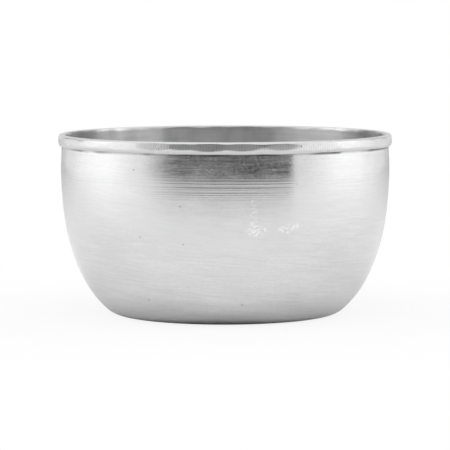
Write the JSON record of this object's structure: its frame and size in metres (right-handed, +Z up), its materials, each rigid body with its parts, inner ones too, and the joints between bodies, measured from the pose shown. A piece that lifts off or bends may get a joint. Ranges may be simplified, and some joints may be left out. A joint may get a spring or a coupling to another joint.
{
  "type": "offering bowl",
  "caption": "Plain round metal offering bowl: flat foot, full rounded side, upright wall and a folded, hammered rim.",
  "frame": {"origin": "centre of the flat foot, on the surface the bowl stands on", "axes": "+Z up along the axis the bowl was spun about; -Y is the side that faces the camera in the picture"},
  "size_m": [0.1497, 0.1499, 0.081],
  "materials": {
    "bowl": "satin, brushed round the bowl"
  },
  "bodies": {
    "root": {"bowl": "bowl"}
  },
  "joints": []
}
